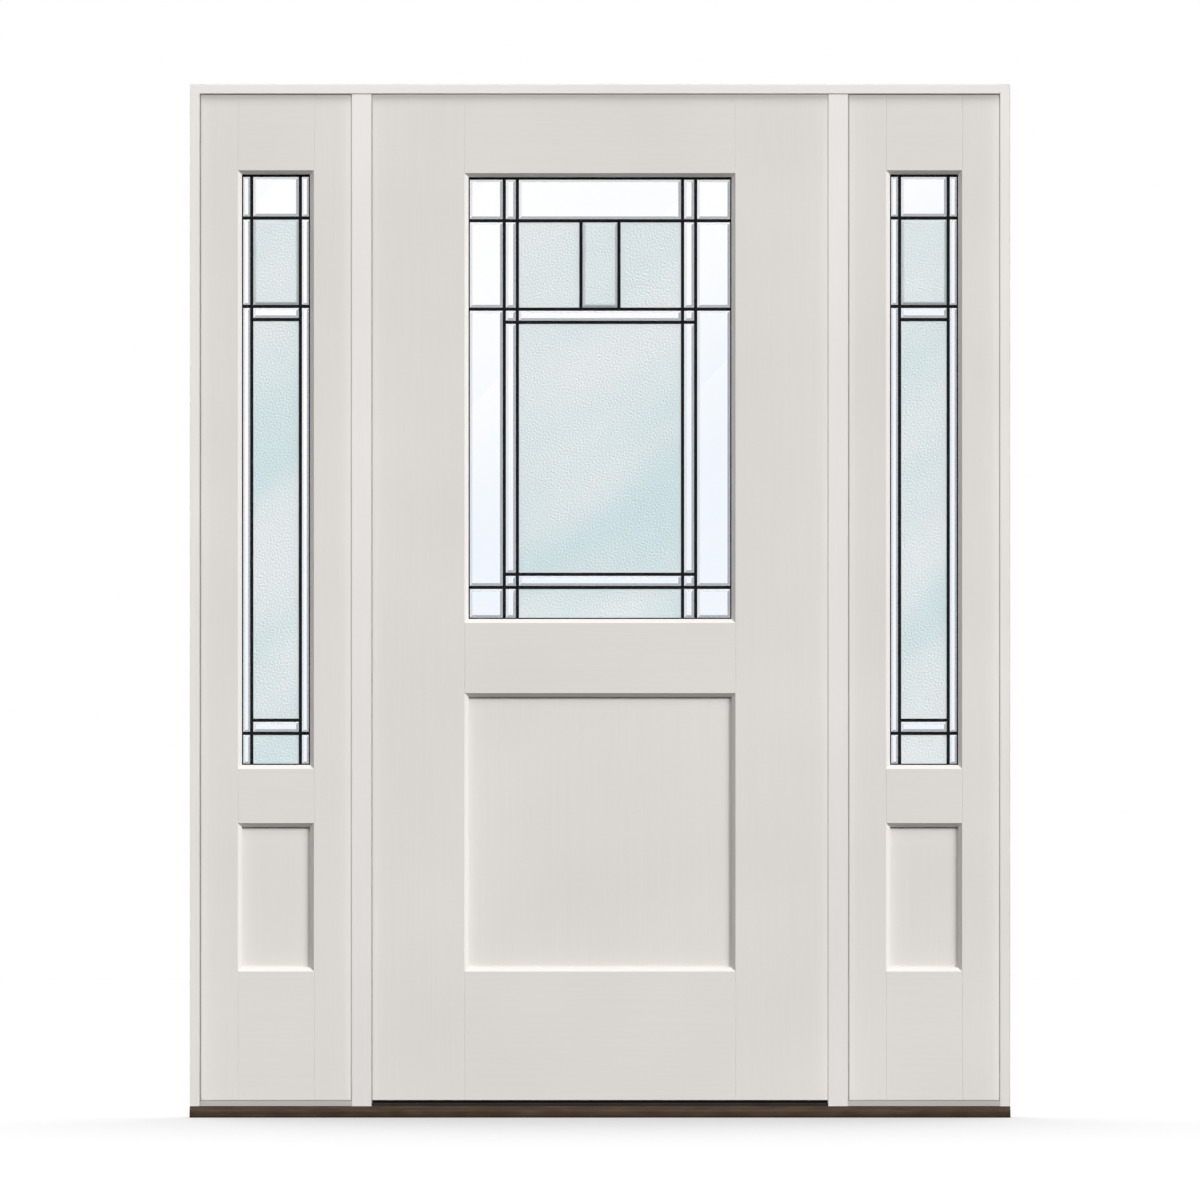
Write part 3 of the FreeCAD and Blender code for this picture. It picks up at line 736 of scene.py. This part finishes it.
# %% [markdown]
# ## Pebbled glass
# The wide panes are rolled glass with a pebbled face that blurs what is behind it. The relief is real
# geometry: random numbers are filtered so that only waves of about the pebble's size stay, and the result
# pushes a fine grid out of the face. A tint with a painted sky reflection, bluer low down and in slanting
# cloud patches, and a rough, partly milky body do the rest.

# %% Pebbled glass
# Size, lean and heights of the painted sky reflection's cloud patches.
REFLECTION_CLOUD = (600.0, 600.0, 170.0)
REFLECTION_CLOUD_LEAN = 35.0
REFLECTION_CLOUD_TOP = 1.75
REFLECTION_CLOUD_FOOT = 1.2
GRIT = 2.8


def pebbled_glass(name):
    """Rolled obscure glass: a pale blue-green body that scatters light, with softly glossy pebbles."""
    material, tree, place = new_material(name)
    parts = add_node(tree, "ShaderNodeSeparateXYZ", {"Vector": place}).outputs
    # Painted sky reflection: bluer low down and in slanting cloud patches.
    reflection_cloud = mottle(tree, place, REFLECTION_CLOUD, 1.0, lean=REFLECTION_CLOUD_LEAN)
    patches = add_node(
        tree, "ShaderNodeMapRange", {"Value": reflection_cloud, "From Min": 0.33, "From Max": 0.7},
        interpolation_type="SMOOTHSTEP",
    )
    lower = add_node(
        tree, "ShaderNodeMapRange",
        {"Value": parts["Z"], "From Min": REFLECTION_CLOUD_TOP, "From Max": REFLECTION_CLOUD_FOOT, "To Min": 0.4},
    )
    cloud_reflection = add_node(
        tree, "ShaderNodeMath", {0: lower.outputs[0], 1: patches.outputs[0]}, operation="MULTIPLY"
    )
    body = add_node(
        tree, "ShaderNodeMix",
        {SHARE: cloud_reflection.outputs[0], FIRST: linear("#f0f5f6"), SECOND: linear("#dcedf0")}, data_type="RGBA",
    )
    # Painted shade on the bevelled border, read from the same number as on the clear panes.
    border = add_node(tree, "ShaderNodeAttribute", attribute_name="painted_border_shade")
    tint = add_node(
        tree, "ShaderNodeMix",
        {SHARE: border.outputs["Fac"], FIRST: body.outputs[RESULT], SECOND: linear("#a6adaf")},
        data_type="RGBA",
    )
    grit = mottle(tree, place, [GRIT] * 3, 2.0)
    relief = add_node(tree, "ShaderNodeBump", {"Height": grit, "Strength": 0.35, "Distance": 0.25 * MM})
    shader = add_node(
        tree, "ShaderNodeBsdfPrincipled",
        {"Base Color": tint.outputs[RESULT], "Normal": relief.outputs[0], "Roughness": 0.3, "IOR": 1.5,
         "Transmission Weight": 0.35, "Specular IOR Level": 0.4},
    )
    add_node(tree, "ShaderNodeOutputMaterial", {"Surface": shader.outputs[0]})
    return material


pebbled = pebbled_glass("rolled pebbled glass")
print(f"pebbled glass, with grit of {GRIT} mm")

# %% Pebble relief
PEBBLE = 5.6 * MM
PEBBLE_SPREAD = 0.45
PEBBLE_HEIGHT = 0.33 * MM
GRID_STEP = 1.65 * MM


def pebble_relief(shape, random):
    """Random heights with only the waves near the pebble's size kept, scaled to a spread of one."""
    up = np.fft.fftfreq(shape[0], GRID_STEP)[:, None]
    across = np.fft.rfftfreq(shape[1], GRID_STEP)[None]
    waves = np.hypot(up, across) * PEBBLE
    kept = np.exp(-(((waves - 1.0) / PEBBLE_SPREAD) ** 2))
    relief = np.fft.irfft2(np.fft.rfft2(random.standard_normal(shape)) * kept, shape)
    return relief / relief.std()


def pebbled_sheet(span, rise, planes, random):
    """One pane on a grid: depth = face - rise * climb - pebbles, which fade out at the came.

    Gives its points, front quads, rim quads, back face and a painted border shade for each face.
    """
    x0, z0, x1, z1 = span
    face, back = planes
    columns = int((x1 - x0) / GRID_STEP) + 1
    rows = int((z1 - z0) / GRID_STEP) + 1
    x, z = np.meshgrid(np.linspace(x0, x1, columns), np.linspace(z0, z1, rows))
    to_sides = np.stack([z - z0, x1 - x, z1 - z, x - x0])
    inset = to_sides.min(axis=0) - CHANNEL
    climb = np.clip(inset / BEVEL, 0.0, 1.0)
    shown = np.clip(inset / (2 * GRID_STEP), 0.0, 1.0)
    y = face - rise * climb - PEBBLE_HEIGHT * shown * pebble_relief(x.shape, random)
    grid = np.stack([x, y, z], axis=-1).reshape(-1, 3)

    index = np.arange(rows * columns).reshape(rows, columns)
    quads = np.stack(
        [index[:-1, :-1], index[:-1, 1:], index[1:, 1:], index[1:, :-1]], axis=-1
    ).reshape(-1, 4)
    rim = np.concatenate([index[0, :-1], index[:-1, -1], index[-1, :0:-1], index[:0:-1, 0]])
    behind = rows * columns + np.arange(len(rim))
    wall = np.stack([behind, np.roll(behind, -1), np.roll(rim, -1), rim], axis=-1)
    rear = grid[rim]
    rear[:, 1] = back
    on_border = (climb < 1.0) & (rise > 0)
    # Painted shade of the nearest border, on the raised pane's slope only.
    tone = (PAINTED_BORDER_SHADES[to_sides.argmin(axis=0)] * on_border).ravel()[quads].mean(axis=1)
    painted_shades = np.concatenate([tone, np.zeros(len(wall) + 1)])
    return np.concatenate([grid, rear]), quads, wall, behind[::-1], painted_shades


print(f"pebbles of {PEBBLE / MM:.1f} mm on a grid of {GRID_STEP / MM:.2f} mm")

# %% Pebbled panes
SEED = 1502


def pebbled_panes(unit, material, random):
    """All pebbled panes of one unit. The raised flat in the node's front plane marks the bevelled one."""
    node = unit + "_textured_panes"
    low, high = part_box(node)
    front, back = low[1], high[1]
    face = back - PANE_EDGE
    fields = flat_rectangles(node, 0)
    middles = (fields[:, :2] + fields[:, 2:]) / 2
    points, groups, painted_shades, count = [], [], [], 0
    for span in pebbled_spans[unit]:
        raised = np.any(np.all((middles > span[:2]) & (middles < span[2:]), axis=1))
        rise = face - front if raised else 0.0
        sheet_points, *sheet_groups, sheet_tones = pebbled_sheet(span, rise, (face, back), random)
        points.append(sheet_points)
        groups += [faces + count for faces in sheet_groups]
        painted_shades.append(sheet_tones)
        count += len(sheet_points)
    piece = build_piece(
        unit + "_pebbled_glass", np.concatenate(points), groups, material,
        BODY_OF[unit], smooth_groups=range(0, len(groups), 3),
    )
    store_painted_border_shades(piece, np.concatenate(painted_shades))
    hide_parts(node)
    return len(piece.data.polygons)


random = np.random.default_rng(SEED)
print("pebbled faces:", {unit: pebbled_panes(unit, pebbled, random) for unit in UNITS})

# %% [markdown]
# ## Seals
# A foam strip in grey vinyl, behind the stops, meets the leaf when it shuts. Its lip shows as a thin line
# round the doorway. A bead of grey sealant draws the same line round each sidelight, and a rubber sweep
# with fins closes the gap above the threshold cap. The grey of lip and beads is partly painted shade: the
# thin shadow line at the frame's inner edges. Each is one section carried along a path: up, across and
# down for the strip and the beads, straight across for the sweep. The strip and the sweep stop just short
# of what they would press on.

# %% Sealing rubber and vinyl
BLOOM = 9.0


def soft_rubber(name, hex_colour, sheen_hex):
    """Sealing rubber or vinyl: matt, with a dusty bloom in patches."""
    material, tree, place = new_material(name)
    bloom = mottle(tree, place, [BLOOM] * 3, 3.0)
    colour = add_node(
        tree, "ShaderNodeMix", {SHARE: bloom, FIRST: linear(hex_colour), SECOND: linear(sheen_hex)},
        data_type="RGBA",
    )
    relief = add_node(tree, "ShaderNodeBump", {"Height": bloom, "Strength": 0.1, "Distance": 0.2 * MM})
    shader = add_node(
        tree, "ShaderNodeBsdfPrincipled",
        {"Base Color": colour.outputs[RESULT], "Normal": relief.outputs[0], "Roughness": 0.7,
         "Specular IOR Level": 0.2},
    )
    add_node(tree, "ShaderNodeOutputMaterial", {"Surface": shader.outputs[0]})
    return material


rubber = soft_rubber("black sealing rubber", "#171513", "#242120")
# The vinyl's grey is partly painted shade: it draws the thin shadow line at the frame's inner edges.
vinyl = soft_rubber("grey sealing vinyl", "#aeaba8", "#b8b5b2")
print("black rubber and grey vinyl mixed")

# %% Sections along a path
def carried_section(name, stations, outward, section, material, body, slot):
    """A closed (out, depth) section through stations: point = station + out * outward + depth * inward."""
    section = np.array(section)
    inward = np.array([0.0, 1.0, 0.0])
    points = (
        stations[:, None] + section[None, :, :1] * outward[:, None] + section[None, :, 1:] * inward
    )
    index = np.arange(len(stations) * len(section)).reshape(len(stations), len(section))
    ahead = np.roll(index, -1, axis=1)
    walls = np.stack([index[:-1], index[1:], ahead[1:], ahead[:-1]], axis=-1).reshape(-1, 4)
    return build_piece(name, points, [walls, index[0], index[-1, ::-1]], material, body)


def arch_path(left, right, depth, foot, top):
    """Stations up the left side of an opening, across and down the right side, and the way out at each."""
    stations = np.array(
        [(left, depth, foot), (left, depth, top), (right, depth, top), (right, depth, foot)]
    )
    outward = np.array([(-1, 0, 0), (-1, 0, 1), (1, 0, 1), (1, 0, 0)], dtype=float)
    return stations, outward


print("section tools ready")

# %% Foam strip and sealant beads
DOOR_RABBET = 12.5 * MM
SEAL_MARGIN = 0.6 * MM
STRIP_LIP = 1.3 * MM
BEAD_WIDTH = 2.2 * MM
BEAD_MARGIN = 0.05 * MM


def foam_strip(material):
    """Strip in the rabbet of the mullions and head, with a lip that stands past the edge of the stops."""
    stop_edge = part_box("right_mullion")[0][0]
    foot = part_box("threshold_cap")[1][2]
    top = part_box("head_jamb")[0][2]
    leaf_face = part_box("door_lock_stile")[0][1]
    cap_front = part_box("threshold_cap")[0][1]
    depth = leaf_face - cap_front - SEAL_MARGIN
    width = DOOR_RABBET - SEAL_MARGIN
    section = [
        (width, 0.0), (width, depth * 0.6), (width * 0.72, depth), (0.0, depth),
        (-0.8 * STRIP_LIP, depth * 0.97), (-STRIP_LIP, depth * 0.8), (-0.6 * STRIP_LIP, depth * 0.6),
        (0.3 * STRIP_LIP, depth * 0.2),
    ]
    path = arch_path(-stop_edge, stop_edge, cap_front, foot, top)
    return carried_section("door_foam_strip", *path, section, material, "frame", "base_strip")


def sealant_bead(unit, left, right, material):
    """Bead in the corner between a sidelight's face and the stops round it."""
    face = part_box(unit + "_left_stile")[0][1] - BEAD_MARGIN
    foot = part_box(unit + "_bottom_rail")[0][2]
    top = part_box("head_jamb")[0][2]
    section = [
        (-BEAD_MARGIN, -BEAD_WIDTH), (-BEAD_MARGIN, 0.0), (-BEAD_WIDTH, 0.0),
        (-0.7 * BEAD_WIDTH, -0.45 * BEAD_WIDTH), (-0.4 * BEAD_WIDTH, -0.8 * BEAD_WIDTH),
    ]
    path = arch_path(left, right, face, foot, top)
    return carried_section(unit + "_sealant", *path, section, material, "frame", "base_strip")


frame_seals = [
    foam_strip(vinyl),
    sealant_bead("left_sidelight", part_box("left_jamb")[1][0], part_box("left_mullion")[0][0], vinyl),
    sealant_bead("right_sidelight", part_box("right_mullion")[1][0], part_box("right_jamb")[0][0], vinyl),
]
# The seals belong to the frame, so they take its light.
link_members(key_receivers, frame_seals, "EXCLUDE")
link_members(key_blockers, frame_seals, "EXCLUDE")
link_members(frame_receivers, frame_seals, "INCLUDE")
print("frame seals:", [seal.name for seal in frame_seals])

# %% Door sweep
SWEEP_CARRIER = 1.6 * MM
FIN_HALF = 2.0 * MM
FIN_TIP = 0.3
FIN_PLACES = (0.85, 0.5, 0.15)


def door_sweep(material):
    """Carrier under the leaf with fins that taper down to just above the threshold cap."""
    low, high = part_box("door_bottom_rail")
    left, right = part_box("door_hinge_stile")[0][0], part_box("door_lock_stile")[1][0]
    reach = low[2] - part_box("threshold_cap")[1][2] - SEAL_MARGIN
    thickness = high[1] - low[1]
    stations = np.array([(left, low[1], low[2]), (right, low[1], low[2])])
    outward = np.array([(0, 0, -1), (0, 0, -1)], dtype=float)
    section = [(0.0, FIN_HALF), (0.0, thickness - FIN_HALF)]
    for share in FIN_PLACES:
        middle = thickness * share
        section += [
            (SWEEP_CARRIER, middle + FIN_HALF), (reach, middle + FIN_HALF * FIN_TIP),
            (reach, middle - FIN_HALF * FIN_TIP), (SWEEP_CARRIER, middle - FIN_HALF),
        ]
    return carried_section("door_sweep", stations, outward, section, material, "door", "black_strip")


door_sweep(rubber)
print(f"sweep with {len(FIN_PLACES)} fins under the leaf")

# %% [markdown]
# ## Hinges
# Butt hinges in satin steel, let in flush, each plate held by countersunk screws. A screw head is a low
# dome worked out on circles: height by radius, with a cross cut where either straight line is near.

# %% Satin steel
BRUSH_LINE = (0.8, 0.8, 40.0)


def satin_steel(name):
    """Brushed and lacquered steel, with fine lines up and down."""
    material, tree, place = new_material(name)
    lines = mottle(tree, place, BRUSH_LINE, 3.0)
    colour = add_node(
        tree, "ShaderNodeMix", {SHARE: lines, FIRST: linear("#9c9a97"), SECOND: linear("#bdbbb8")},
        data_type="RGBA",
    )
    gloss = add_node(tree, "ShaderNodeMapRange", {"Value": lines, "To Min": 0.28, "To Max": 0.42})
    relief = add_node(tree, "ShaderNodeBump", {"Height": lines, "Strength": 0.1, "Distance": 0.05 * MM})
    shader = add_node(
        tree, "ShaderNodeBsdfPrincipled",
        {"Base Color": colour.outputs[RESULT], "Roughness": gloss.outputs[0],
         "Normal": relief.outputs[0], "Metallic": 1.0},
    )
    add_node(tree, "ShaderNodeOutputMaterial", {"Surface": shader.outputs[0]})
    return material


steel = satin_steel("satin steel")
finish_nodes(["hinge_frame_plates", "hinge_door_plates", "hinge_pins"], steel)
print("hinge plates and pins finished")

# %% Hinge screws
HINGE_REACH = 32.0 * MM
HINGE_SPACING = 0.2
SCREW_RADIUS = 3.6 * MM
SCREW_PROUD = 0.25 * MM
SCREW_FLAT = 0.02
SCREW_RINGS = 9
SCREW_SPOKES = 32
SLOT_HALF = 0.55 * MM
SLOT_DEPTH = 0.7 * MM
SLOT_REACH = 0.62
# Three screws a plate: shares of its height, and of its reach in from the inner face.
SCREW_HEIGHTS = np.array([0.17, 0.5, 0.83])
SCREW_STAGGER = np.array([0.62, 0.3, 0.62])


def hinge_spans(node):
    """Lowest and highest point of each hinge: the node's heights, split where a wide gap comes."""
    heights = np.sort(vertex_places(node)[:, 2])
    breaks = np.flatnonzero(np.diff(heights) > HINGE_SPACING)
    return np.stack([heights[np.r_[0, breaks + 1]], heights[np.r_[breaks, len(heights) - 1]]], axis=-1)


def plate_screws(name, node, plate_x, facing, material, body):
    """Screw heads on the plates of one side, facing +x or -x across the gap.

    A head stands out by the root of 1 - reach squared, less the slot's depth near either line of the cross.
    """
    spans = hinge_spans(node)
    heights = (spans[:, :1] + (spans[:, 1:] - spans[:, :1]) * SCREW_HEIGHTS).ravel()
    inner_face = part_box("door_lock_stile")[1][1]
    depths = inner_face - HINGE_REACH * np.tile(SCREW_STAGGER, len(spans))
    reach, across, up = cap_rings(SCREW_RADIUS, SCREW_RINGS, SCREW_SPOKES, SCREW_FLAT)
    cut = (np.minimum(np.abs(across), np.abs(up)) < SLOT_HALF) & (reach < SLOT_REACH)
    out = SCREW_PROUD * np.sqrt(1 - reach ** 2) - SLOT_DEPTH * cut
    head = np.stack([facing * out, across, facing * up], axis=-1)
    places = np.stack([np.full(len(heights), plate_x), depths, heights], axis=-1)
    round_caps(name, head, places, material, body)
    return len(heights)


leaf_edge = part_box("door_hinge_stile")[0][0]
post_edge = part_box("left_mullion")[1][0] - DOOR_RABBET
screw_counts = [
    plate_screws("hinge_door_screws", "hinge_door_plates", leaf_edge, -1, steel, "door"),
    plate_screws("hinge_frame_screws", "hinge_frame_plates", post_edge, 1, steel, "frame"),
]
print("hinge screws:", screw_counts)
